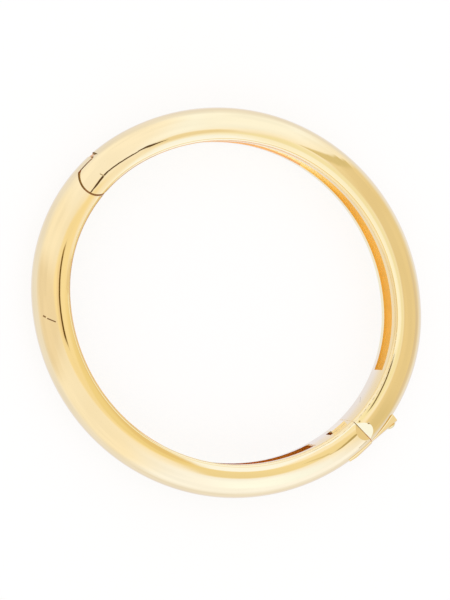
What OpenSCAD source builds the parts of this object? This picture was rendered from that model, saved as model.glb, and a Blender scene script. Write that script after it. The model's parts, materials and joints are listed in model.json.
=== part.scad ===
// Hinged oval bangle of hollow gold tube: two half shells, a hinge pin, a folded spring
// tongue and a push button. Millimetres, +Z up. The bangle lies on its side on z = 0, with
// the origin at the centre of the wrist opening and +X along its long axis.

/* [Wrist opening] */
// Inner radius of the two tighter ends of the oval opening, which is 57.3 by 53 mm at 23.8
end_r = 23.8; // [23.6:0.1:24.4]

/* [Tube] */
// Height of the tube along the bangle's axis
tube_h = 7.7; // [7.5:0.1:8.4]
// Depth of the tube from the wrist wall to the outer crown
tube_t = 5.7; // [5.5:0.1:6.0]
// Radius of the outer crown
crown_r = 3.4; // [3.2:0.1:3.6]
// Radius of the two edges of the wrist wall
edge_r = 0.5; // [0.45:0.05:0.7]
// Thickness of the gold sheet
wall = 0.35; // [0.3:0.05:0.4]

/* [Slots in the wrist wall] */
// Height of both slots
slot_h = 4.2; // [3:0.1:5]
// Where the right half's slot starts, in degrees
right_slot_from = 7.5; // [5:0.1:30]
// Where the right half's slot ends
right_slot_to = 134; // [100:1:140]
// Where the left half's slot starts
left_slot_from = 190; // [185:1:220]
// Where the left half's slot ends
left_slot_to = 326.1; // [300:0.1:327]

/* [Hinge] */
// Direction of the hinge pin seen from the near end of the oval, in degrees
hinge_deg = 160.6; // [158:0.1:163]
// Depth of the pin's axis under the outer crown
pin_depth = 1.0; // [0.95:0.05:1.05]
// Radius of the pin
pin_r = 0.35; // [0.3:0.01:0.36]
// Length of the pin
pin_l = 3.6; // [3.2:0.1:3.7]
// Radial running clearance of the pin
pin_clearance = 0.03; // [0.02:0.01:0.05]
// Radius of the hinge knuckles
knuckle_r = 0.7; // [0.65:0.01:0.72]
// Height of the middle knuckle
knuckle_h = 1.6; // [1.4:0.1:1.8]
// Radius of the round nose of the right half
nose_r = 2.65; // [2.6:0.01:2.7]
// How far behind the pin the nose's centre lies
nose_back = 2.5; // [2.45:0.01:2.55]
// How far inside the pin the nose's centre lies
nose_in = 2.2; // [2.15:0.01:2.25]
// Gap between the nose and its socket
nose_gap = 0.32; // [0.3:0.01:0.34]
// How far the nose's middle part reaches under the socket's rim, which closes the view down
// the gap
nose_step = 0.3; // [0.25:0.01:0.32]
// Thickness of the left half's lip outside the nose
lip_t = 0.36; // [0.34:0.01:0.42]
// Gap between the lip and the nose
lip_gap = 0.12; // [0.1:0.01:0.15]
// How far behind the pin's axis the lip ends
lip_end = 0.65; // [0.62:0.01:0.75]
// How far in front of the pin's axis the right half's crown starts
crown_start = 0.5; // [0.45:0.01:0.6]

/* [Clasp] */
// Direction of the clasp's seam at the wrist wall, in degrees
clasp_deg = -17.2; // [-19:0.1:-15]
// Turn of the seam against the tube's cross section, in degrees
seam_skew = 6; // [0:0.5:6]
// Gap between the two halves at the seam
seam_gap = 0.12; // [0.08:0.01:0.2]
// Thickness of the end walls at the seam
cap_t = 0.6; // [0.5:0.05:0.8]
// Depth of the flattened end of the dome at the seam
facet_depth = 0.35; // [0.2:0.01:0.4]
// Length of the flattened end
facet_l = 1.5; // [1.2:0.1:1.8]
// Length of the raised flat on the left half
flat_l = 4.5; // [4:0.1:5]
// How far the flat stands out at the seam
flat_rise = 0.16; // [0.1:0.01:0.2]
// Length of the button's seat on the right half
seat_l = 6.3; // [6.2:0.1:6.6]
// Height of the seat's outer face between its slanted edges
seat_h = 1.5; // [1.2:0.1:1.8]
// Slope of the seat's face against the seam's tangent, in degrees
seat_deg = 4.7; // [4:0.1:5]

/* [Push button] */
// Distance of the button's axis from the seam
button_at = 5.15; // [5:0.05:5.2]
// Radius of the button
button_r = 1.0; // [0.9:0.02:1.0]
// Clearance round the button in its seat
button_clearance = 0.06; // [0.05:0.01:0.08]
// How far the button's crown stands over the seat
button_rise = 0.55; // [0.5:0.05:0.8]
// Travel of the button
button_travel = 0.35; // [0.3:0.05:0.4]
// Thickness of the collar that keeps the button in
collar_t = 0.3; // [0.25:0.05:0.35]

/* [Tongue] */
// Thickness of the tongue's gold strip
strip_t = 0.45; // [0.4:0.05:0.5]
// Height of the strip
strip_h = 3.8; // [3.4:0.1:3.9]
// Reach of the fold beyond the seam
tongue_l = 6.0; // [5:0.1:6.2]
// Height of the tab that shows on the wrist wall
tab_h = 2.6; // [2.2:0.1:2.8]
// Length of the tab
tab_l = 2.3; // [2.2:0.1:2.7]
// How far from the seam the tab ends
tab_inset = 0.5; // [0.4:0.05:0.6]
// How far the tab stands out of the wrist wall
tab_rise = 0.42; // [0.3:0.02:0.45]

/* [Hidden] */
$fn = 96;
GOLD = [0.86, 0.68, 0.30];
mid = tube_h / 2;
far = 20;
slip = 0.05;

// The oval of the opening: two end arcs centred on X and two flatter side arcs centred on Y,
// tangent to each other in the directions +-join_deg. The three lengths are the sides of one
// right triangle with that angle, so neighbouring arcs share a whole face.
join_deg = 32;
end_cx = 4.83133;
side_cy = 3.01895;
side_r = end_r + 5.697;

// One row for each arc: centre x, centre y, inner radius, first direction, last direction.
ARC_CX = 0;
ARC_CY = 1;
ARC_R = 2;
ARC_FROM = 3;
ARC_TO = 4;
ARCS = [
    [end_cx, 0, end_r, -join_deg, join_deg],
    [0, -side_cy, side_r, join_deg, 180 - join_deg],
    [-end_cx, 0, end_r, 180 - join_deg, 180 + join_deg],
    [0, side_cy, side_r, 180 + join_deg, 360 - join_deg],
    [end_cx, 0, end_r, 360 - join_deg, 360 + join_deg],
];

// The tube's shoulder arc is tangent to the crown and level at the top of the edge.
crown_cx = tube_t - crown_r;
shoulder_r = (pow(crown_cx - edge_r, 2) + mid * mid - crown_r * crown_r) / (tube_h - 2 * crown_r);
shoulder_cy = tube_h - shoulder_r;
shoulder_dir = [crown_cx - edge_r, mid - shoulder_cy] / (shoulder_r - crown_r);

outer_r = end_r + tube_t;
seam_half_deg = arc_deg(seam_gap / 2, end_r + tube_t / 2);
left_end_deg = 360 + clasp_deg - seam_half_deg;
hinge_span_deg = 13;

// Hinge frame: the middle knuckle with its web, and the solid block round the outer knuckles.
knuckle_gap = 0.15;
web_from = -1.8;
web_to = -0.35;
web_low = 0.1;
web_high = 0.75;
hinge_block = 1.2;
hinge_block_low = -0.95;
step_top = -2.3;
step_h = 6.2;
step_gap = 0.18;

// Clasp frame: heights under the crown of the mouth for the tongue, of the tongue's lower leaf
// and of the free end of its upper leaf, and the depth of the seat's solid back.
mouth_low = -3.95;
mouth_high = -1.6;
leaf_low = -3.75;
leaf_free = mouth_high - button_travel - 0.4;
pad_back = -1.5;
collar_top = -1.7;

// Seam frame: the seam turns about a point just inside the wrist wall, facet_dir is the
// direction of the flattened end's normal in the cross section, and both halves are swept
// seam_spare_deg too far before they are cut at the seam.
seam_pivot = 0.3;
facet_dir = 70;
facet_tilt = atan2(facet_depth, facet_l);
seam_spare_deg = 1.5;

// Profiles across the tube: how far the sides of the flat and of the seat fall back, and the
// half height that they reach there.
flat_side = [0.4, 1.6];
flat_h = 1.4;
seat_side = [0.25, 1.35];

// Directions of the tab's end near the seam, and of the window that the tongue passes in the
// left half's wrist wall. post_deg is the length of the tab that lies over the window, with
// the post under it, and tab_gap the tab's clearance over the wrist wall.
tab_end_deg = left_end_deg - arc_deg(tab_inset, end_r);
window_to = tab_end_deg - arc_deg(tab_l, end_r);
window_from = window_to - 2.6;
post_deg = 1.4;
tab_gap = 0.01;
post_l = 2.45;

// The tongue's strip: radius of the fold, length of the upper leaf, and how far the lower leaf
// reaches into the left half.
fold_r = 0.45;
leaf_l = tongue_l - 1.1;
root_l = 4.1;

// Angle of an arc of the given length, to a hundredth of a degree.
function arc_deg(length, radius) = round(length / radius * 18000 / PI) / 100;

// Cross section of the tube, u outwards from the wrist wall and z up, drawn inset by i.
module tube_section(i = 0) {
    reach = shoulder_r + 1.5;
    corner_x = edge_r + reach * shoulder_dir[0];
    corner_y = shoulder_cy + reach * shoulder_dir[1];
    intersection() {
        translate([edge_r, shoulder_cy]) circle(shoulder_r - i);
        translate([edge_r, tube_h - shoulder_cy]) circle(shoulder_r - i);
        polygon([
            [i, edge_r], [i, tube_h - edge_r], [edge_r, tube_h - edge_r], [edge_r, tube_h + 1],
            [corner_x, corner_y], [crown_cx, mid], [corner_x, tube_h - corner_y],
            [edge_r, -1], [edge_r, edge_r]
        ]);
    }
    intersection() {
        translate([crown_cx, mid]) circle(crown_r - i);
        translate([i, 0]) square([tube_t, tube_h]);
    }
    translate([edge_r, edge_r]) circle(edge_r - i);
    translate([edge_r, tube_h - edge_r]) circle(edge_r - i);
}

// Sweeps a section round the oval between two directions.
module along_ring(from, to) {
    for (arc = ARCS) {
        lo = max(from, arc[ARC_FROM]);
        hi = min(to, arc[ARC_TO]);
        if (hi > lo + 0.01)
            translate([arc[ARC_CX], arc[ARC_CY], 0])
                rotate_extrude(start = lo, angle = hi - lo)
                    translate([arc[ARC_R], 0]) children();
    }
}

module slot_cut(from, to) {
    along_ring(from, to) translate([-1, mid - slot_h / 2]) square([wall + 1.5, slot_h]);
}

// Hinge frame: origin on the pin's axis at half height, x towards the right half, y outwards.
module at_hinge() {
    translate([-end_cx, 0, mid]) rotate(hinge_deg) translate([outer_r - pin_depth, 0, 0])
        rotate(-90) children();
}

// Clasp frame: origin on the crown at the seam and half height, x into the left half,
// y outwards.
module at_clasp() {
    translate([end_cx, 0, mid]) rotate(clasp_deg) translate([outer_r, 0, 0])
        rotate(-90) children();
}

// Seam frame: the clasp frame turned so that x = 0 is the plane of the seam.
module at_seam() {
    at_clasp() translate([0, seam_pivot - tube_t, 0]) rotate(seam_skew)
        translate([0, tube_t - seam_pivot, 0]) children();
}

// Button frame: origin where the button's axis leaves the seat, z outwards.
module at_button() {
    at_clasp() translate([-button_at, seat_y(button_at), 0]) rotate(-seat_deg)
        rotate([-90, 0, 0]) children();
}

function seat_y(x) = -0.01 + x * tan(seat_deg);

// A slab in plan between x0 and x1 and between y0 and y1, h high about half height.
module slab(x0, x1, y0, y1, h = 2 * far) {
    translate([x0, y0, -h / 2]) cube([x1 - x0, y1 - y0, h]);
}

// Everything further than depth under the outer crown, near the hinge.
module under_crown(depth) {
    translate([-end_cx, 0, -far]) cylinder(r = outer_r - depth, h = 3 * far);
}

module nose_disc(r) {
    translate([-nose_back, -nose_in, -far]) cylinder(r = r, h = 2 * far);
}

// The nose's thicker middle part near the wrist wall.
module nose_step(r, spare = 0) {
    intersection() {
        nose_disc(r);
        slab(-far / 2, -nose_back, -far / 2, step_top + spare, step_h + 2 * spare);
    }
}

module knuckle(r, h) {
    translate([0, 0, -h / 2]) cylinder(r = r, h = h);
}

module pin_bore(l) {
    at_hinge() knuckle(pin_r + pin_clearance, l);
}

// Middle knuckle with the web that joins it to the lip.
module middle_knuckle() {
    knuckle(knuckle_r, knuckle_h);
    slab(web_from, web_to, web_low, web_high, knuckle_h);
}

module left_shell() {
    difference() {
        union() {
            difference() {
                along_ring(hinge_deg - 2, left_end_deg + seam_spare_deg) tube_section();
                at_seam() flat_ends();
            }
            at_clasp() raised_flat();
        }
        at_seam() seam_slab(-2, seam_gap / 2);
        intersection() {
            under_crown(lip_t);
            at_hinge() union() {
                nose_disc(nose_r + nose_gap);
                nose_step(nose_r + nose_step + step_gap, step_gap);
                slab(-nose_back, far, -far / 2, 3);
            }
        }
        at_hinge() slab(-lip_end, far, -far / 2, 3);
        difference() {
            along_ring(hinge_deg + hinge_span_deg, left_end_deg) tube_section(wall);
            at_seam() seam_slab(-2, cap_t);
            at_seam() flat_ends(wall);
        }
        slot_cut(left_slot_from, left_slot_to);
        tongue_passage();
    }
}

// Slab across the tube at the clasp.
module seam_slab(x0, x1) {
    slab(x0, x1, -tube_t - 2, 3);
}

// What the flattened ends take off the dome on the left half's side of the seam, both above
// and below, drawn deeper by i.
module flat_ends(i = 0) {
    for (side = [0, 1])
        mirror([0, 0, side])
            translate([
                0, edge_r + shoulder_r * cos(facet_dir) - tube_t,
                shoulder_cy + shoulder_r * sin(facet_dir) - mid
            ])
                rotate([facet_dir - 90, 0, 0]) translate([facet_l, 0, -i])
                    rotate([0, -facet_tilt, 0]) translate([-4, -4, 0]) cube([7, 8, 3]);
}

// A ridge along x: a flat top of height h whose sides fall back on both sides.
module ridge(x0, x1, h, side, back) {
    translate([x0, 0, 0]) rotate([90, 0, 90]) linear_extrude(x1 - x0)
        polygon([
            [0, h / 2], [-side[0], side[1]], [back, side[1]],
            [back, -side[1]], [-side[0], -side[1]], [0, -h / 2]
        ]);
}

// Flat that thickens the left half's outer crown beside the seam.
module raised_flat() {
    intersection() {
        translate([0, flat_rise + 0.06, 0]) ridge(-1, flat_l, flat_h, flat_side, pad_back);
        translate([0, 0, -far / 2]) linear_extrude(far)
            polygon([
                [-1, flat_rise + 0.06], [flat_l * 0.55, flat_rise - 0.15],
                [flat_l, -0.45], [flat_l, pad_back], [-1, pad_back]
            ]);
    }
}

// Slot in the left half's end wall and window in its wrist wall for the tongue's strip.
module tongue_passage() {
    at_clasp() slab(-0.5, 2, leaf_low - slip, leaf_low + strip_t + slip, strip_h + 2 * slip);
    along_ring(window_from, window_to)
        translate([-1, mid - tab_h / 2 - slip]) square([2, tab_h + 2 * slip]);
}

module left_half() {
    color(GOLD) difference() {
        union() {
            left_shell();
            intersection() {
                along_ring(hinge_deg - 4, hinge_deg + 6) tube_section(0.02);
                at_hinge() middle_knuckle();
            }
        }
        pin_bore(2 * knuckle_h);
    }
}

// Seat of the push button, a ridge on the right half that slopes outwards.
module button_seat() {
    translate([0, seat_y(0), 0]) rotate(-seat_deg)
        ridge(-seat_l, 0, seat_h, seat_side, pad_back - seat_side[0]);
}

module right_outer() {
    difference() {
        along_ring(clasp_deg - seam_spare_deg, hinge_deg + hinge_span_deg) tube_section();
        at_seam() mirror([1, 0, 0]) flat_ends();
        at_hinge() difference() {
            slab(-far, -nose_back, -far / 2, 3);
            nose_disc(nose_r);
            nose_step(nose_r + nose_step);
        }
        difference() {
            at_hinge() difference() {
                slab(-far / 2, crown_start, -2, 3);
                knuckle(knuckle_r, tube_h);
            }
            under_crown(lip_t + lip_gap);
        }
    }
    at_clasp() button_seat();
}

// The hollow of the right half, which reaches into the nose beside the hinge block.
module right_hollow() {
    difference() {
        intersection() {
            along_ring(clasp_deg, hinge_deg + hinge_span_deg) tube_section(wall);
            union() {
                at_hinge() nose_disc(nose_r - wall);
                at_hinge() slab(-nose_back, 2 * far, -5 * far, far);
            }
        }
        at_hinge() slab(-far / 2, hinge_block, hinge_block_low, 3);
        at_seam() seam_slab(-cap_t, 2);
        at_seam() mirror([1, 0, 0]) flat_ends(wall);
    }
}

module right_half() {
    color(GOLD) difference() {
        right_outer();
        at_seam() seam_slab(-seam_gap / 2, 2);
        right_hollow();
        slot_cut(right_slot_from, right_slot_to);
        at_hinge() knuckle(knuckle_r + knuckle_gap, knuckle_h + 2 * knuckle_gap);
        at_hinge() slab(web_from - 0.2, 0, web_low - knuckle_gap, 2, knuckle_h + 2 * knuckle_gap);
        pin_bore(pin_l + 2 * slip);
        at_button() translate([0, 0, -3]) cylinder(r = button_r + button_clearance, h = 5);
        at_clasp() slab(-cap_t - 1, 0.5, mouth_low, mouth_high, strip_h + 0.4);
    }
}

module hinge_pin() {
    color(GOLD) at_hinge() knuckle(pin_r, pin_l);
}

// Plan of the folded strip: the lower leaf, the fold and the upper spring leaf.
module folded_strip() {
    leaf_y = leaf_low + strip_t / 2;
    fold_y = leaf_y + fold_r;
    leaf_deg = atan2(leaf_free - fold_y - fold_r, leaf_l);
    fold_end = 90 + leaf_deg;
    inner_r = fold_r - strip_t / 2;
    outer_fold_r = fold_r + strip_t / 2;
    fold_steps = 12;
    function fold_point(r, i) = let (a = 270 - (270 - fold_end) * i / fold_steps)
        [r * cos(a) - tongue_l, r * sin(a) + fold_y];
    function free_point(r) = fold_point(r, fold_steps) + leaf_l * [cos(leaf_deg), sin(leaf_deg)];
    polygon(concat(
        [[root_l, leaf_low]],
        [for (i = [0:fold_steps]) fold_point(outer_fold_r, i)],
        [free_point(outer_fold_r), free_point(inner_r)],
        [for (i = [fold_steps:-1:0]) fold_point(inner_r, i)],
        [[root_l, leaf_low + strip_t]]
    ));
}

// The tongue: the folded strip, the tab on the wrist wall and the post that joins them.
module clasp_tongue() {
    post_h = tab_h - 0.2;
    color(GOLD) {
        along_ring(window_to - post_deg, tab_end_deg)
            translate([-tab_rise, mid - tab_h / 2]) square([tab_rise - tab_gap, tab_h]);
        along_ring(window_to - post_deg + 0.1, window_to - 0.2)
            translate([-tab_rise / 2, mid - post_h / 2]) square([post_l, post_h]);
        at_clasp() translate([0, 0, -strip_h / 2]) linear_extrude(strip_h) folded_strip();
    }
}

// Button with a domed crown and the collar that keeps it in its seat.
module push_button() {
    dome_r = (button_r * button_r + button_rise * button_rise) / (2 * button_rise);
    color(GOLD) at_button() {
        translate([0, 0, collar_top - collar_t]) cylinder(r = button_r + 0.35, h = collar_t);
        intersection() {
            translate([0, 0, button_rise - dome_r]) sphere(dome_r);
            cylinder(r = button_r, h = 3);
        }
        translate([0, 0, collar_top]) cylinder(r = button_r, h = -collar_top);
    }
}

left_half();
right_half();
hinge_pin();
clasp_tongue();
push_button();
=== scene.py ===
import json
import math

import bpy
from mathutils import Matrix, Vector


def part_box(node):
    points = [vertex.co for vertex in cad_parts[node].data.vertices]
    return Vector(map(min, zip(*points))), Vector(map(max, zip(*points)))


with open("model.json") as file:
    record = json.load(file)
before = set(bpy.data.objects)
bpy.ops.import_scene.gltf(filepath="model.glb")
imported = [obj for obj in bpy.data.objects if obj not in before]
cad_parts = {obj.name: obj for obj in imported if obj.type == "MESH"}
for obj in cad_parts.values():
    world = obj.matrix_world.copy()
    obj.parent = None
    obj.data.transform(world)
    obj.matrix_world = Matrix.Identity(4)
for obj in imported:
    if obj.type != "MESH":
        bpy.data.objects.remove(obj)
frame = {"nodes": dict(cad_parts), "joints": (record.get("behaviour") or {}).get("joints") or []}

MM = 0.001

# The bangle as the frame gives it
TUBE_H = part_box("right_half")[1].z
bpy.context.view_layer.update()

# Camera: how it looks at the bangle, in degrees and metres
CAMERA_DIRECTION = 208.5
CAMERA_HEIGHT = 74.0
CAMERA_ROLL = 1.0
CAMERA_DISTANCE = 0.750
LENS_MM = 270.0
SENSOR_MM = 36.0
AIM_RIGHT = -0.54 * MM
AIM_UP = 0.48 * MM

# The photograph's horizontal axis in the model's frame
IMAGE_RIGHT = 29.5

# Floor: half its side and its gap under the bangle in metres, and how white it is
FLOOR_SIZE = 1.5
FLOOR_GAP = 0.02 * MM
FLOOR_GREY = (0.2, 0.2, 0.2)
FLOOR_GLOW = 0.82


def link(obj):
    bpy.context.scene.collection.objects.link(obj)
    return obj


def direction(azimuth, elevation):
    a, e = math.radians(azimuth), math.radians(elevation)
    return Vector((math.cos(a) * math.cos(e), math.sin(a) * math.cos(e), math.sin(e)))


def make_camera():
    data = bpy.data.cameras.new("camera")
    data.sensor_width = SENSOR_MM
    data.lens = LENS_MM
    data.clip_start = 0.01
    data.clip_end = 10.0
    camera = link(bpy.data.objects.new("camera", data))
    back = direction(CAMERA_DIRECTION, CAMERA_HEIGHT)
    level = direction(CAMERA_DIRECTION - 90, 0)
    across = level.cross(back)
    roll = math.radians(CAMERA_ROLL)
    right = across * math.cos(roll) + level * math.sin(roll)
    up = level * math.cos(roll) - across * math.sin(roll)
    target = Vector((0, 0, TUBE_H / 2)) + AIM_RIGHT * right + AIM_UP * up
    place = target + back * CAMERA_DISTANCE
    turn = Matrix((right, up, back)).transposed().to_4x4()
    camera.matrix_world = Matrix.Translation(place) @ turn
    bpy.context.scene.camera = camera


# Sockets of the mix node that take and give colours
MIX_A, MIX_B, MIX_RESULT = 6, 7, 2


class Nodes:
    """Short calls for building a node tree."""

    def __init__(self, tree):
        self.tree = tree

    def add(self, kind, **values):
        node = self.tree.nodes.new(kind)
        for name, value in values.items():
            setattr(node, name, value)
        return node

    def link(self, a, b):
        self.tree.links.new(a, b)

    def math(self, operation, a, b=None):
        node = self.add("ShaderNodeMath", operation=operation)
        self.put(a, node.inputs[0])
        if b is not None:
            self.put(b, node.inputs[1])
        return node.outputs[0]

    def axes(self, place):
        node = self.add("ShaderNodeSeparateXYZ")
        self.link(place, node.inputs[0])
        return node.outputs["X"], node.outputs["Y"], node.outputs["Z"]

    def dot(self, a, vector):
        node = self.add("ShaderNodeVectorMath", operation="DOT_PRODUCT")
        self.put(a, node.inputs[0])
        node.inputs[1].default_value = vector
        return node.outputs["Value"]

    def ramp(self, value, low, high, to_low=0.0, to_high=1.0):
        node = self.add("ShaderNodeMapRange", interpolation_type="SMOOTHSTEP")
        self.put(value, node.inputs["Value"])
        node.inputs["From Min"].default_value = low
        node.inputs["From Max"].default_value = high
        node.inputs["To Min"].default_value = to_low
        node.inputs["To Max"].default_value = to_high
        return node.outputs["Result"]

    def mix(self, factor, a, b):
        node = self.add("ShaderNodeMix", data_type="RGBA")
        self.put(factor, node.inputs["Factor"])
        self.put(a, node.inputs[MIX_A])
        self.put(b, node.inputs[MIX_B])
        return node.outputs[MIX_RESULT]

    def put(self, value, socket):
        if isinstance(value, bpy.types.NodeSocket):
            self.link(value, socket)
        elif isinstance(value, tuple) and len(value) == 3 and len(socket.default_value) == 4:
            socket.default_value = (*value, 1.0)
        else:
            socket.default_value = value


# Studio: what the polished gold reflects. Each card is a convex polygon on the sky, with corners
# as degrees to the image's right and degrees to its top, both counted from the zenith. Later
# cards cover earlier ones.
FIELD = (1.03, 0.96, 0.94)
SHADE = (0.10, 0.05, 0.01)
BROWN = (0.40, 0.26, 0.10)
OLIVE = (0.87, 0.725, 0.50)
CARDS = [
    # name, corners, colour, softness of the edge in degrees
    ("low_box", [(0, -28), (30, -29), (90, -52), (90, -92), (-34, -98)], (1.05, 1.10, 1.42), 18.0),
    ("low_light", [(12, -36), (30, -36), (44, -50), (40, -66), (14, -66)],
     (1.07, 1.18, 1.52), 12.0),
    ("top_box", [(-4, 23), (26, 26), (70, 70), (70, 100), (-24, 100)], (1.05, 1.09, 1.30), 18.0),
    ("top_left", [(3, 26), (3, 100), (-80, 70), (-20, 18)], (1.055, 1.015, 1.07), 12.0),
    ("left_wall", [(-16, 3), (-16, -9), (-90, -55), (-100, 24)], (0.91, 0.79, 0.68), 12.0),
    ("side_corner", [(30, 13), (45, 13), (62, 49), (34, 28)], (0.92, 0.79, 0.58), 4.0),
    ("side_wall", [(33, -20), (36, 15), (44, 35), (62, 49), (110, 85), (110, -75)], OLIVE, 6.0),
    ("side_far", [(68, -45), (68, 12), (88, 22), (90, -60)], (0.78, 0.66, 0.54), 10.0),
    ("side_wall_low", [(42, -17), (42, -27), (86, -57), (92, -40)], (0.80, 0.67, 0.44), 8.0),
    ("wall_edge", [(27.6, 24.5), (66, 53.8), (66, 48), (32, 22.5)], (0.75, 0.63, 0.39), 1.8),
    ("overhead", [(11, -8), (9, 3), (2, 14), (-13, 14), (-24, 1), (-16, -14), (0, -20), (12, -18)],
     (1.01, 0.86, 0.60), 6.0),
    ("low_right", [(9, -13), (27, -12), (36, -19), (35, -25), (19, -31), (10, -30)],
     (0.94, 0.81, 0.57), 5.0),
    ("lamp_skirt", [(11, 12), (25, 24), (34, 16), (34, -8), (24, -10), (14, 0)],
     (0.99, 0.93, 0.76), 5.0),
    ("lamp", [(28, -1), (26, 11), (14, 15), (10, 10), (13.6, -3), (24, -4)],
     (1.06, 1.06, 1.12), 4.0),
    ("lamp_core", [(19, 0), (17, 10), (11, 13), (12, 4), (13.6, -2)], (1.06, 1.13, 1.42), 3.0),
    ("top_patch", [(6, 22), (9, 15), (18, 18), (17, 24), (9, 26)], (0.92, 0.80, 0.62), 4.0),
    ("warm_patch", [(1, -8), (7, 0), (13.6, -1), (14.2, -14), (9, -18), (0, -14)],
     (0.92, 0.76, 0.44), 5.0),
    ("tan_wall", [(9.2, 1), (9.4, -11), (13.4, -12), (13.6, 0)], (0.85, 0.66, 0.36), 2.5),
    ("gap_light", [(13.6, -2), (13.6, -12), (18.5, -12.5), (21, -3)], (1.05, 1.12, 1.42), 1.6),
    ("edge_right", [(33.6, -19.8), (38.3, -22.6), (34.9, -27.8), (32.5, -25.8)],
     (0.52, 0.41, 0.21), 1.8),
    ("edge_low", [(33.5, -26.9), (32.7, -27.9), (24.2, -21.0), (24.8, -20.2)],
     (0.72, 0.60, 0.38), 1.2),
    ("bar_left_side", [(-16, 5), (-9, 5), (-9, -8), (-15, -8)], (0.93, 0.75, 0.52), 4.0),
    ("bar_left", [(-10.4, 6.8), (-10.8, -7.6), (-6.0, -7.6), (-6.6, 6.8)], BROWN, 1.6),
    ("bar_left_core", [(-9.4, 5.2), (-9.6, -7.2), (-6.8, -7.2), (-7.4, 5.2)], SHADE, 0.8),
    ("bar_top", [(-4.8, 20.0), (4.8, 20.1), (5.2, 22.4), (-4.8, 22.2)], SHADE, 0.8),
    ("bar_top_end", [(3.4, 23.2), (7.4, 19.1), (9.2, 20.3), (4.6, 24.8)], SHADE, 0.8),
    ("bar_hinge", [(-5.5, 21.6), (-2.6, 21.6), (-2.1, 15.6), (-5.0, 15.6)], SHADE, 0.8),
    ("bar_right", [(22.7, -2.5), (24.1, -2.5), (24.6, -6.5), (23.7, -6.5)],
     (0.16, 0.09, 0.02), 0.7),
]
# Light from below the horizon, as the degrees from the zenith over which it takes over
BOUNCE = (0.89, 0.87, 0.99)
BOUNCE_FROM, BOUNCE_TO = 83, 120
# How much the studio's light drifts from place to place, and over how much of the sky
STUDIO_DRIFT = 0.03
DRIFT_SCALE = 3.0


def sky_point(right, up):
    azimuth = math.degrees(math.atan2(up, right)) + IMAGE_RIGHT
    return direction(azimuth, 90 - math.hypot(right, up))


def card_mask(n, sky, corners, softness):
    """1 inside a convex polygon of directions, 0 outside."""
    points = [sky_point(*corner) for corner in corners]
    middle = sum(points, Vector()).normalized()
    mask = None
    for p, q in zip(points, points[1:] + points[:1]):
        normal = p.cross(q).normalized()
        if normal.dot(middle) < 0:
            normal = -normal
        half = math.sin(math.radians(softness / 2))
        side = n.ramp(n.dot(sky, normal), -half, half)
        mask = side if mask is None else n.math("MULTIPLY", mask, side)
    return mask


def make_studio():
    world = bpy.data.worlds.new("studio")
    bpy.context.scene.world = world
    world.use_nodes = True
    tree = world.node_tree
    tree.nodes.clear()
    n = Nodes(tree)
    sky = n.add("ShaderNodeTexCoord").outputs["Generated"]
    colour = FIELD
    for _, corners, card_colour, softness in CARDS:
        colour = n.mix(card_mask(n, sky, corners, softness), colour, card_colour)
    height = n.dot(sky, (0, 0, 1))
    low, high = (math.cos(math.radians(angle)) for angle in (BOUNCE_TO, BOUNCE_FROM))
    colour = n.mix(n.ramp(height, low, high, 1.0, 0.0), colour, BOUNCE)
    drift = n.add("ShaderNodeTexNoise")
    n.link(sky, drift.inputs["Vector"])
    drift.inputs["Scale"].default_value = DRIFT_SCALE
    drift.inputs["Detail"].default_value = 1.0
    level = n.ramp(drift.outputs["Fac"], 0.3, 0.7, 1 - STUDIO_DRIFT, 1 + STUDIO_DRIFT)
    scaled = n.add("ShaderNodeVectorMath", operation="SCALE")
    n.link(colour, scaled.inputs[0])
    n.link(level, scaled.inputs["Scale"])
    colour = scaled.outputs["Vector"]
    seen = n.add("ShaderNodeLightPath").outputs["Is Camera Ray"]
    colour = n.mix(seen, colour, (1.0, 1.0, 1.0))
    background = n.add("ShaderNodeBackground")
    n.link(colour, background.inputs["Color"])
    output = n.add("ShaderNodeOutputWorld")
    n.link(background.outputs[0], output.inputs["Surface"])


def make_floor():
    size = FLOOR_SIZE
    mesh = bpy.data.meshes.new("floor")
    corners = [(-size, -size, 0), (size, -size, 0), (size, size, 0), (-size, size, 0)]
    mesh.from_pydata(corners, [], [(0, 1, 2, 3)])
    floor = link(bpy.data.objects.new("floor", mesh))
    floor.location.z = -FLOOR_GAP
    material = bpy.data.materials.new("floor_white")
    material.use_nodes = True
    shader = material.node_tree.nodes["Principled BSDF"]
    shader.inputs["Base Color"].default_value = (*FLOOR_GREY, 1)
    shader.inputs["Roughness"].default_value = 1.0
    shader.inputs["Specular IOR Level"].default_value = 0.0
    shader.inputs["Emission Color"].default_value = (1, 1, 1, 1)
    shader.inputs["Emission Strength"].default_value = FLOOR_GLOW
    mesh.materials.append(material)
    floor.visible_glossy = False


# The tube's section and the oval, in millimetres, which tell the kinds of face apart
END_R, END_CX, SIDE_CY, SIDE_R, JOIN_DEG = 23.8, 4.83133, 3.01895, 29.497, 32.0
TUBE_T, CROWN_R = 5.7, 3.4
CROWN_CX = TUBE_T - CROWN_R
SHOULDER_U, SHOULDER_R, SHOULDER_DOWN = 0.5, 7.225, 3.375
SHOULDER_SLOPE = 1.875

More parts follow.
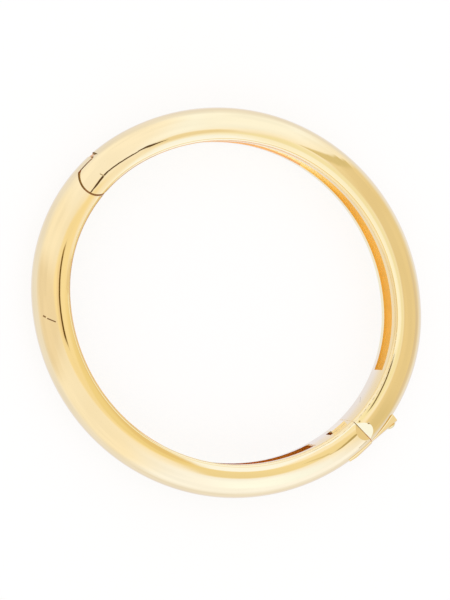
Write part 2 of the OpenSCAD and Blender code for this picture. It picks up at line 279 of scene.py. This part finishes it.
# Small marks on the polished skin. Ends are: direction from the arc's centre in degrees,
# distance outwards from the wrist wall and height, both in millimetres.
MARKS = [
    # name, one end, other end, half width in mm, colour
    # The dark head and line are a painted dark reflection, laid on the slight sink that every mark
    # gets
    ("dark_head", (217.45, 4.65, 6.37), (217.85, 4.35, 6.57), 0.14, (0.30, 0.18, 0.06)),
    ("dark_line", (218.3, 4.1, 6.75), (219.6, 2.95, 7.25), 0.11, (0.24, 0.13, 0.04)),
    ("seam_speck", (-15.4, 0.9, 7.68), (-15.2, 1.0, 7.68), 0.13, (0.38, 0.26, 0.10)),
    ("crown_speck", (-13.4, 2.3, 7.48), (-13.1, 2.5, 7.42), 0.12, (0.38, 0.26, 0.10)),
    # flat_line is painted shade along the crease where the flattened end meets the dome
    ("flat_line", (-17.7, 4.49, 6.45), (-21.3, 4.52, 6.43), 0.06, (0.58, 0.48, 0.24)),
    ("wall_scratch", (-5.2, 0.0, 1.9), (-7.6, 0.0, 3.4), 0.05, (0.60, 0.56, 0.46)),
    ("hinge_tick", (163.8, 2.1, 7.52), (164.3, 2.8, 7.3), 0.07, (0.30, 0.19, 0.06)),
]
MARK_ROUGHNESS = 0.45
MARK_DEPTH = 0.02 * MM

# Scales of the noise in the gold, in cycles for each metre
STAIN_SCALE, HAZE_SCALE, WAVE_SCALE, LINE_SCALE = 90.0, 220.0, 160.0, 700.0
# The middle part of the noise, over which colour and gloss turn, and the gloss's spread
STAIN_SPAN, HAZE_SPAN = (0.35, 0.65), (0.3, 0.7)
GLOSS_LEAST, GLOSS_MOST = 0.8, 1.3
# How much closer the fine polishing lines lie across the tube than along it
LINE_SQUEEZE = 12.0


def tube_point(direction_deg, u, z):
    turn = math.radians(direction_deg)
    side = math.cos(turn), math.sin(turn)
    if abs(math.degrees(math.atan2(abs(side[1]), abs(side[0])))) < JOIN_DEG:
        centre, radius = (math.copysign(END_CX, side[0]), 0), END_R
    else:
        centre, radius = (0, -math.copysign(SIDE_CY, side[1])), SIDE_R
    return Vector((centre[0] + (radius + u) * side[0], centre[1] + (radius + u) * side[1], z)) * MM


def mark_mask(n, place, start, end, half_width):
    """1 on a short line between two points, 0 elsewhere."""
    a, b = tube_point(*start), tube_point(*end)
    offset = n.add("ShaderNodeVectorMath", operation="SUBTRACT")
    n.link(place, offset.inputs[0])
    offset.inputs[1].default_value = (a + b) / 2
    along = (b - a).normalized()
    reach = n.math("ABSOLUTE", n.dot(offset.outputs[0], along))
    length = n.add("ShaderNodeVectorMath", operation="LENGTH")
    n.link(offset.outputs[0], length.inputs[0])
    length_squared = n.math("POWER", length.outputs["Value"], 2.0)
    aside_squared = n.math("SUBTRACT", length_squared, n.math("POWER", reach, 2.0))
    aside = n.math("SQRT", n.math("MAXIMUM", aside_squared, 0.0))
    half_length = (b - a).length / 2
    width = half_width * MM
    across = n.ramp(aside, width * 0.5, width * 1.5, 1.0, 0.0)
    return n.math("MULTIPLY", across, n.ramp(reach, half_length, half_length + width, 1.0, 0.0))


def tube_nodes(n, place):
    """Distance outwards from the wrist wall, and depth under the curved skin, both in metres."""
    x, y, z = n.axes(place)
    x = n.math("ABSOLUTE", x)
    y = n.math("ABSOLUTE", y)
    up = n.math("ABSOLUTE", n.math("SUBTRACT", z, TUBE_H / 2))
    past_end = n.math("SUBTRACT", x, END_CX * MM)
    end_u = n.math("SUBTRACT", hypotenuse(n, past_end, y), END_R * MM)
    side_u = n.math("SUBTRACT", hypotenuse(n, x, n.math("ADD", y, SIDE_CY * MM)), SIDE_R * MM)
    at_end = n.math("LESS_THAN", y, n.math("MULTIPLY", past_end, math.tan(math.radians(JOIN_DEG))))
    u = choose(n, at_end, end_u, side_u)
    from_crown = n.math("SUBTRACT", u, CROWN_CX * MM)
    from_shoulder = n.math("SUBTRACT", u, SHOULDER_U * MM)
    over_shoulder = n.math("ADD", up, SHOULDER_DOWN * MM)
    crown = n.math("SUBTRACT", CROWN_R * MM, hypotenuse(n, from_crown, up))
    shoulder = n.math("SUBTRACT", SHOULDER_R * MM, hypotenuse(n, from_shoulder, over_shoulder))
    on_shoulder = n.math("GREATER_THAN", up, n.math("MULTIPLY", from_crown, SHOULDER_SLOPE))
    return u, choose(n, on_shoulder, shoulder, crown)


def hypotenuse(n, a, b):
    return n.math("SQRT", n.math("ADD", n.math("MULTIPLY", a, a), n.math("MULTIPLY", b, b)))


def choose(n, switch, a, b):
    """a where the switch is 1, b where it is 0."""
    return n.math("ADD", b, n.math("MULTIPLY", switch, n.math("SUBTRACT", a, b)))


def distance_from(n, place, point):
    node = n.add("ShaderNodeVectorMath", operation="DISTANCE")
    n.link(place, node.inputs[0])
    node.inputs[1].default_value = point
    return node.outputs["Value"]


def noise(n, place, scale, detail=2.0):
    node = n.add("ShaderNodeTexNoise")
    n.link(place, node.inputs["Vector"])
    node.inputs["Scale"].default_value = scale
    node.inputs["Detail"].default_value = detail
    return node.outputs["Fac"]


def stretched(n, place, scale):
    node = n.add("ShaderNodeMapping")
    n.link(place, node.inputs["Vector"])
    node.inputs["Scale"].default_value = scale
    return node.outputs["Vector"]


def gold(name, colour, roughness, metallic=1.0, tint=0.99, wave=0.0, hairline=0.0, marks=(), glow=0.0,
         shade=None):
    """Gold whose gloss and colour change a little from place to place. wave is the swell of the
    surface and hairline the depth of its fine polishing lines, both in millimetres. glow stands
    for the light that gold walls throw at each other inside the tube. shade changes the colour
    and the gloss by place."""
    material = bpy.data.materials.new(name)
    material.use_nodes = True
    tree = material.node_tree
    shader = tree.nodes["Principled BSDF"]
    n = Nodes(tree)
    place = n.add("ShaderNodeTexCoord").outputs["Object"]
    deeper = tuple(channel * tint ** power for channel, power in zip(colour, (1, 2, 4)))
    skin = n.mix(n.ramp(noise(n, place, STAIN_SCALE), *STAIN_SPAN), colour, deeper)
    haze = noise(n, place, HAZE_SCALE, 3.0)
    rough = n.ramp(haze, *HAZE_SPAN, roughness * GLOSS_LEAST, roughness * GLOSS_MOST)
    height = n.math("MULTIPLY", noise(n, place, WAVE_SCALE, 1.0), wave * MM)
    lines = noise(n, stretched(n, place, (1.0, 1.0, LINE_SQUEEZE)), LINE_SCALE, 1.0)
    height = n.math("ADD", height, n.math("MULTIPLY", lines, hairline * MM))
    if shade:
        skin, rough = shade(n, place, skin, rough)
    for _, start, end, half_width, mark_colour in marks:
        mask = mark_mask(n, place, start, end, half_width)
        skin = n.mix(mask, skin, mark_colour)
        rough = n.math("MAXIMUM", rough, n.math("MULTIPLY", mask, MARK_ROUGHNESS))
        height = n.math("SUBTRACT", height, n.math("MULTIPLY", mask, MARK_DEPTH))
    n.link(skin, shader.inputs["Base Color"])
    n.link(rough, shader.inputs["Roughness"])
    shader.inputs["Metallic"].default_value = metallic
    if glow:
        shader.inputs["Emission Color"].default_value = (*colour, 1.0)
        shader.inputs["Emission Strength"].default_value = glow
    if wave or hairline or marks:
        bump = n.add("ShaderNodeBump")
        n.link(height, bump.inputs["Height"])
        bump.inputs["Distance"].default_value = 1.0
        n.link(bump.outputs["Normal"], shader.inputs["Normal"])
    return material


# Colours that the gold turns to by place, most of them painted light and shade
# Painted shade: the darker olive-tan of the raised flats and the button's seat
RAISED_PAINTED_SHADE = (0.82, 0.62, 0.28)
# Painted light: the light brown of the sunken step of the hinge's lip
LIP_PAINTED_LIGHT = (0.95, 0.62, 0.34)
LIP_ROUGHNESS = 0.6
WRIST_FAR_GOLD = (0.98, 0.90, 0.50)
WRIST_TOP_GOLD = (0.97, 0.76, 0.32)
WRIST_TOP_SHARE = 0.95
# Painted light: the paler inside of the right half towards the hinge
RIGHT_INSIDE_PAINTED_LIGHT = (1.0, 0.97, 0.86)
# Painted light: the paler inside of the left half away from the clasp
LEFT_INSIDE_PAINTED_LIGHT = (1.0, 0.90, 0.66)
# Painted light: the pale cream of the clasp's ends by the wrist wall
SEAM_WRIST_PAINTED_LIGHT = (0.97, 0.92, 0.84)
# Partly a stained joint and partly painted light and shade of the clasp's gap
SEAM_DARK, SEAM_MIDDLE, SEAM_RED = (0.36, 0.20, 0.02), (0.70, 0.50, 0.18), (0.78, 0.36, 0.12)
# The hinge's gap, partly a stained joint and partly painted shade and light; the last colour is a
# painted shadow
GAP_DEEP, GAP_LIP, GAP_PAINTED_SHADOW = (0.44, 0.28, 0.05), (0.70, 0.44, 0.20), (0.10, 0.05, 0.01)
# Middle of the wrist wall at the clasp, and the painted shadow spot at the hinge's outer end, as the
# marks' ends are given
CLASP_END = (-17.2, 0.0, 3.85)
HINGE_SHADOW_SPOT = (160.3, 5.3, 5.45)
# Where each turn of colour begins and ends, in metres: by depth under the curved skin, by
# distance from a point, along X or up Z, or by distance outwards from the wrist wall
RAISED_DEPTH = (-0.16 * MM, -0.06 * MM)
LIP_DEPTH = (0.08 * MM, 0.2 * MM)
WRIST_FROM_CLASP = (11 * MM, 17 * MM)
WRIST_TOP_Z = (1.5 * MM, 6.3 * MM)
RIGHT_INSIDE_X = (0.0, 10 * MM)
LEFT_INSIDE_X = (13 * MM, 18 * MM)
SEAM_PALE_OUT = (0.3 * MM, 0.5 * MM)
SEAM_DARK_OUT = (1.2 * MM, 2.8 * MM)
SEAM_RED_OUT = (3.0 * MM, 4.2 * MM)
SEAM_STAIN_AND_SHADE_DEPTH = (0.6 * MM, 0.9 * MM)
GAP_LIP_OUT = (4.9 * MM, 5.2 * MM)
GAP_SHADOW_REACH = (2.2 * MM, 2.8 * MM)


def skin_shade(n, place, skin, rough):
    """The raised flats at the clasp and the button's seat are painted a darker, redder olive-tan as
    painted shade, and the sunken step of the hinge's lip is painted light brown and made rough as
    painted light.
    """
    _, depth = tube_nodes(n, place)
    x, _, _ = n.axes(place)
    raised = n.ramp(depth, *RAISED_DEPTH, 1.0, 0.0)
    skin = n.mix(raised, skin, RAISED_PAINTED_SHADE)
    at_hinge = n.math("LESS_THAN", x, 0.0)
    sunk = n.math("MULTIPLY", n.ramp(depth, *LIP_DEPTH), at_hinge)
    rough = n.math("MAXIMUM", rough, n.math("MULTIPLY", sunk, LIP_ROUGHNESS))
    return n.mix(sunk, skin, LIP_PAINTED_LIGHT), rough


def wrist_shade(n, place, skin, rough):
    """The wrist wall keeps a pale colour near the clasp, a painted highlight, turns to deeper gold
    away from it, and is warmer towards its upper edge.
    """
    _, _, z = n.axes(place)
    away = n.ramp(distance_from(n, place, tube_point(*CLASP_END)), *WRIST_FROM_CLASP)
    skin = n.mix(away, skin, WRIST_FAR_GOLD)
    upper = n.ramp(z, *WRIST_TOP_Z, 0.0, WRIST_TOP_SHARE)
    return n.mix(upper, skin, WRIST_TOP_GOLD), rough


def right_inside_shade(n, place, skin, rough):
    """The inside of the right half is painted paler towards the hinge: painted light in the hollow.
    """
    x, _, _ = n.axes(place)
    return n.mix(n.ramp(x, *RIGHT_INSIDE_X, 1.0, 0.0), skin, RIGHT_INSIDE_PAINTED_LIGHT), rough


def left_inside_shade(n, place, skin, rough):
    """The inside of the left half is painted paler away from the clasp: painted light in the hollow.
    """
    x, _, _ = n.axes(place)
    return n.mix(n.ramp(x, *LEFT_INSIDE_X, 1.0, 0.0), skin, LEFT_INSIDE_PAINTED_LIGHT), rough


def seam_shade(n, place, skin, rough):
    """The ends at the clasp are coloured just under the skin, dark brown next to the wrist through
    tan to red outwards, partly a stained joint and partly painted light and shade of the gap; right
    at the wrist wall they are pale cream, painted light.
    """
    u, depth = tube_nodes(n, place)
    stain_and_shade = n.mix(n.ramp(u, *SEAM_DARK_OUT), SEAM_DARK, SEAM_MIDDLE)
    stain_and_shade = n.mix(n.ramp(u, *SEAM_RED_OUT), stain_and_shade, SEAM_RED)
    skin = n.mix(n.ramp(depth, *SEAM_STAIN_AND_SHADE_DEPTH), stain_and_shade, skin)
    return n.mix(n.ramp(u, *SEAM_PALE_OUT), SEAM_WRIST_PAINTED_LIGHT, skin), rough


def hinge_shade(n, place, skin, rough):
    """The hinge's gap is darker brown where it is deep and light brown along the lip, partly a
    stained joint and partly painted shade and light, with a dark painted shadow at the hinge's outer
    end.
    """
    u, _ = tube_nodes(n, place)
    stain_and_shade = n.mix(n.ramp(u, *GAP_LIP_OUT), GAP_DEEP, GAP_LIP)
    from_spot = distance_from(n, place, tube_point(*HINGE_SHADOW_SPOT))
    spot = n.ramp(from_spot, *GAP_SHADOW_REACH, 1.0, 0.0)
    return n.mix(spot, stain_and_shade, GAP_PAINTED_SHADOW), rough


def dress(node, materials, kind_of=None):
    mesh = frame["nodes"][node].data
    mesh.materials.clear()
    for material in materials:
        mesh.materials.append(material)
    if kind_of:
        for face in mesh.polygons:
            face.material_index = kind_of(face.center, face.normal)


def place_in_tube(x, y):
    """Distance outwards from the wrist wall and outward direction, of a point in plan."""
    ax, ay = abs(x), abs(y)
    if ay < (ax - END_CX) * math.tan(math.radians(JOIN_DEG)):
        dx, dy, radius = ax - END_CX, ay, END_R
    else:
        dx, dy, radius = ax, ay + SIDE_CY, SIDE_R
    away = math.hypot(dx, dy)
    return away - radius, Vector((math.copysign(dx, x) / away, math.copysign(dy, y) / away, 0))


def depth_in_tube(u, up):
    """How far a point lies under the tube's curved skin."""
    if abs(up) > SHOULDER_SLOPE * (u - CROWN_CX):
        return SHOULDER_R - math.hypot(u - SHOULDER_U, abs(up) + SHOULDER_DOWN)
    return CROWN_R - math.hypot(u - CROWN_CX, up)


OUTSIDE, WRIST, INSIDE, SEAM, HINGE, LEDGE = range(6)
# Limits that tell them apart, in millimetres: the distance outwards from the wrist wall up to
# which a face is the wall and from which it is an end or the inside, and the depth under the
# skin at which the ledge starts
WALL_OUT, END_OUT, INSIDE_OUT = 0.05, 0.1, 0.33
LEDGE_DEEP = 0.15
# How far the raised flat and the button's seat stand out of the skin at least
RAISED_OUT = 0.05
FRONT, SIDE = range(2)
PRESS = next(joint for joint in frame["joints"] if joint["name"] == "button_press")
BUTTON_OUT = -Vector(PRESS["axis"])


def tube_face(centre, normal):
    """Kind of a half's face, from where it lies in the tube and where it looks."""
    x, y, z = (value / MM for value in centre)
    u, outward = place_in_tube(x, y)
    up = z - TUBE_H / MM / 2
    from_middle = outward * (u - CROWN_CX) + Vector((0, 0, up))
    facing = from_middle.normalized().dot(normal)
    along = outward.cross(Vector((0, 0, 1))).dot(normal)
    depth = depth_in_tube(u, up)
    to_wrist = normal.dot(outward) < -0.8
    cut_across = abs(normal.z) < 0.3 and abs(along) > 0.35
    to_middle = facing < -0.1
    flat_step = normal.z > 0.3 and depth > LEDGE_DEEP
    if u < WALL_OUT and to_wrist:
        return WRIST
    if cut_across and u > END_OUT and depth > -RAISED_OUT:
        return HINGE if x < 0 else SEAM
    if u > INSIDE_OUT and to_middle:
        return INSIDE
    # Step walls by the hinge get the ledge material, which paints light on them
    if x < -END_R and (flat_step or facing < 0.5):
        return LEDGE
    return OUTSIDE


def button_face(centre, normal):
    return FRONT if normal.dot(BUTTON_OUT) > 0.5 else SIDE


make_camera()
make_studio()
make_floor()
polished = gold("polished_gold", (0.94, 0.82, 0.50), 0.03, wave=0.004, marks=MARKS,
                shade=skin_shade)
# The wrist wall's pale base colour, kept near the clasp, is a painted highlight
wrist = gold("wrist_gold", (0.95, 0.87, 0.66), 0.07, wave=0.003, hairline=0.0006, marks=MARKS,
             shade=wrist_shade)
# The clasp's ends and the hinge's gap glow a little: painted light in the gaps
seam = gold("seam_gold", (0.86, 0.64, 0.28), 0.6, metallic=0.2, tint=0.9, glow=0.1,
            shade=seam_shade)
hinge_gap = gold("hinge_gap_gold", (0.60, 0.36, 0.10), 0.6, metallic=0.2, tint=0.9, glow=0.15,
                 shade=hinge_shade)
# The hinge's ledge and the step walls next to it: brown partly as grime in the joint and partly as
# painted shade, and the glow is painted light
ledge = gold("ledge_gold", (0.50, 0.29, 0.12), 0.5, metallic=0.3, tint=0.9, glow=0.12)
strip = gold("strip_gold", (1.0, 0.93, 0.70), 0.12, wave=0.002, hairline=0.001)
# One inner gold painted two ways: the left half's inside darker as painted shade, the right half's
# lighter and glowing more as painted light
inner_left = gold("inner_gold_left", (0.92, 0.58, 0.15), 0.6, metallic=0.3, tint=0.92, glow=0.01,
                  shade=left_inside_shade)
inner_right = gold("inner_gold_right", (0.95, 0.745, 0.26), 0.6, metallic=0.3, tint=0.94, glow=0.12,
                   shade=right_inside_shade)
button = gold("button_gold", (0.88, 0.80, 0.40), 0.08, wave=0.002)
button_side = gold("button_side_gold", (0.90, 0.55, 0.16), 0.4, metallic=0.7, tint=0.95)
# In the order of the kinds of face
dress("left_half", [polished, wrist, inner_left, seam, hinge_gap, ledge], tube_face)
dress("right_half", [polished, wrist, inner_right, seam, hinge_gap, ledge], tube_face)
dress("push_button", [button, button_side], button_face)
dress("clasp_tongue", [strip])
dress("hinge_pin", [strip])

bpy.context.scene.view_settings.view_transform = "Standard"
